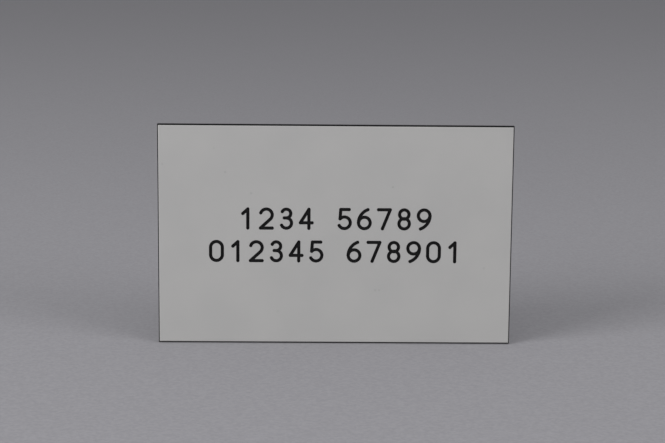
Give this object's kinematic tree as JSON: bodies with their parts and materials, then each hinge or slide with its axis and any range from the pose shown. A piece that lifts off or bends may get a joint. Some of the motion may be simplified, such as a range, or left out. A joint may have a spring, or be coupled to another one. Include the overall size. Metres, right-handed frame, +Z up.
{
  "type": "mailbox name plate",
  "caption": "Flat rectangular engraved laminate name plate with bevelled black edges and rows of plain engraved numerals, stuck on by its flat back.",
  "frame": {"origin": "centre of the flat back face, which is stuck to the mailbox", "axes": "+X across the width, +Z up, the engraved front faces -Y and the back faces +Y"},
  "size_m": [0.08, 0.0016, 0.05],
  "materials": {
    "core": "satin",
    "face_layer": "satin"
  },
  "bodies": {
    "root": {"core": "core", "face_layer": "face_layer"}
  },
  "joints": []
}
